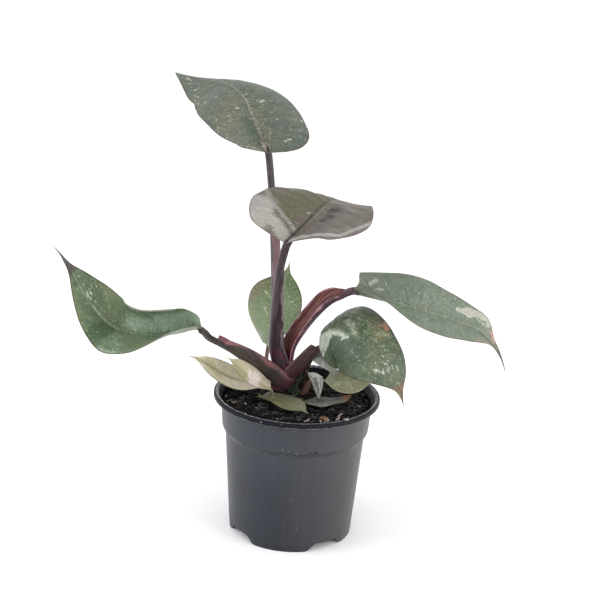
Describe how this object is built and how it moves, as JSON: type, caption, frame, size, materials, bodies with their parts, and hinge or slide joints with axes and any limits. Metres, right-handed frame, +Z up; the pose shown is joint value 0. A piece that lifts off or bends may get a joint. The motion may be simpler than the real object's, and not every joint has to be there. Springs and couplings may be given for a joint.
{
  "type": "potted philodendron",
  "caption": "Pink princess philodendron with long maroon leaf stalks and flecked, pointed oval leaves, growing in a round dark nursery pot filled with potting mix.",
  "frame": {"origin": "on the pot's axis, on the surface the pot stands on", "axes": "+Z up along the pot's axis; -Y is the front; +X to the viewer's right"},
  "size_m": [0.3255, 0.1726, 0.3136],
  "materials": {
    "pot_plastic": "dark slate grey moulded plastic, slightly glossy",
    "potting_mix": "dark moist bark and peat, rough",
    "variegated_leaf": "waxy green leaf flecked with cream and pink",
    "young_leaf": "soft pale young leaf",
    "stalk": "maroon leaf stalk, satin"
  },
  "bodies": {
    "root": {"pot": "pot_plastic", "soil": "potting_mix", "leaf_top": "variegated_leaf", "leaf_upper": "variegated_leaf", "leaf_left": "variegated_leaf", "leaf_right": "variegated_leaf", "leaf_front": "variegated_leaf", "leaf_back": "variegated_leaf", "young_leaf_cream": "young_leaf", "young_leaf_pale": "young_leaf", "young_leaf_olive": "young_leaf", "young_leaf_flat": "young_leaf", "young_leaf_folded": "young_leaf", "young_leaf_under": "young_leaf", "young_leaf_grey": "young_leaf", "young_leaf_dark": "young_leaf", "stem": "stalk", "petiole_back": "stalk", "petiole_top": "stalk", "petiole_upper": "stalk", "petiole_right": "stalk", "petiole_left": "stalk", "petiole_front": "stalk", "sheath_base": "stalk"}
  },
  "joints": []
}
